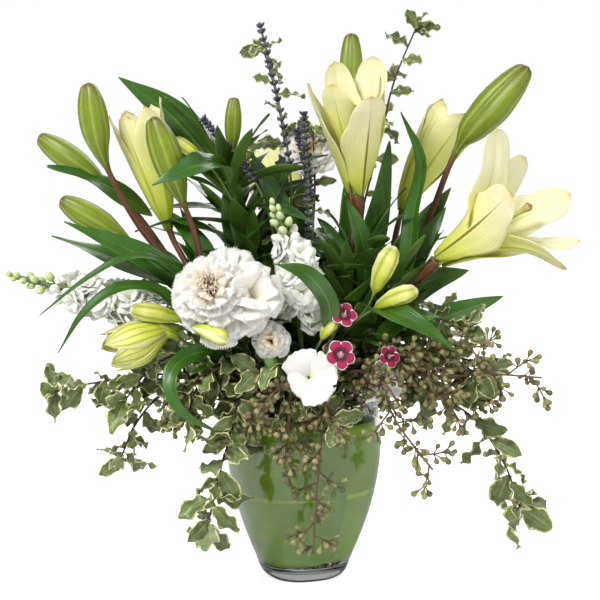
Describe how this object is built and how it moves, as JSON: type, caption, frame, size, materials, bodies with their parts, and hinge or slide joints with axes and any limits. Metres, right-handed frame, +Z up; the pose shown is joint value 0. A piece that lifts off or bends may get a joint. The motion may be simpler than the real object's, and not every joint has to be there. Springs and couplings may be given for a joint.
{
  "type": "lilies in a vase",
  "caption": "Bouquet of open and budding white lilies with carnations, stock, pinks, lavender, pittosporum and seeded eucalyptus in a leaf-lined clear glass vase.",
  "frame": {"origin": "centre of the vase's flat base, on the surface it stands on", "axes": "+Z up; -Y is the side the bouquet faces; +X is to the right seen from that side"},
  "size_m": [0.5496, 0.3578, 0.5542],
  "materials": {
    "glass": "gloss",
    "liner": "satin",
    "stem": "satin",
    "leaf": "satin",
    "bud": "satin",
    "tepal": "satin",
    "pistil": "satin",
    "white_petal": "matte",
    "pink_petal": "matte",
    "lavender": "matte",
    "cream_petal": "satin",
    "variegated_leaf": "satin",
    "eucalyptus": "satin"
  },
  "bodies": {
    "root": {"alstroemeria": "cream_petal", "alstroemeria_leaf_drooping": "leaf", "alstroemeria_leaf_lower": "leaf", "alstroemeria_leaf_upper": "leaf", "carnation_back": "white_petal", "carnation_bloom": "white_petal", "carnation_small": "white_petal", "carnation_stem": "stem", "eucalyptus_hanging": "eucalyptus", "eucalyptus_low_right": "eucalyptus", "eucalyptus_right": "eucalyptus", "lavender_high": "lavender", "lavender_low": "lavender", "lily_bud_left_far": "bud", "lily_bud_left_high": "bud", "lily_bud_left_low": "bud", "lily_bud_left_near": "bud", "lily_bud_mid": "bud", "lily_bud_right": "bud", "lily_bud_top": "bud", "lily_flower_back": "tepal", "lily_flower_left": "tepal", "lily_flower_rear": "tepal", "lily_leaf_high_left": "leaf", "lily_leaf_high_right": "leaf", "lily_leaf_low_left": "leaf", "lily_leaf_low_right": "leaf", "lily_leaf_near_left": "leaf", "lily_right_pistil": "pistil", "lily_right_tepal_1": "tepal", "lily_right_tepal_2": "tepal", "lily_right_tepal_3": "tepal", "lily_right_tepal_4": "tepal", "lily_right_tepal_5": "tepal", "lily_right_tepal_6": "tepal", "lily_stem_back": "stem", "lily_stem_left": "stem", "lily_stem_mid": "stem", "lily_stem_right": "stem", "lily_stem_top": "stem", "lily_top_pistil": "pistil", "lily_top_tepal_1": "tepal", "lily_top_tepal_2": "tepal", "lily_top_tepal_3": "tepal", "lily_top_tepal_4": "tepal", "lily_top_tepal_5": "tepal", "lily_top_tepal_6": "tepal", "liner_leaf": "liner", "pink_lower": "pink_petal", "pink_upper": "pink_petal", "pittosporum_back": "variegated_leaf", "pittosporum_left": "variegated_leaf", "pittosporum_low_left": "variegated_leaf", "pittosporum_low_right": "variegated_leaf", "pittosporum_top_left": "variegated_leaf", "pittosporum_top_right": "variegated_leaf", "stock_front": "white_petal", "stock_left": "white_petal", "vase": "glass", "white_single": "white_petal"}
  },
  "joints": []
}
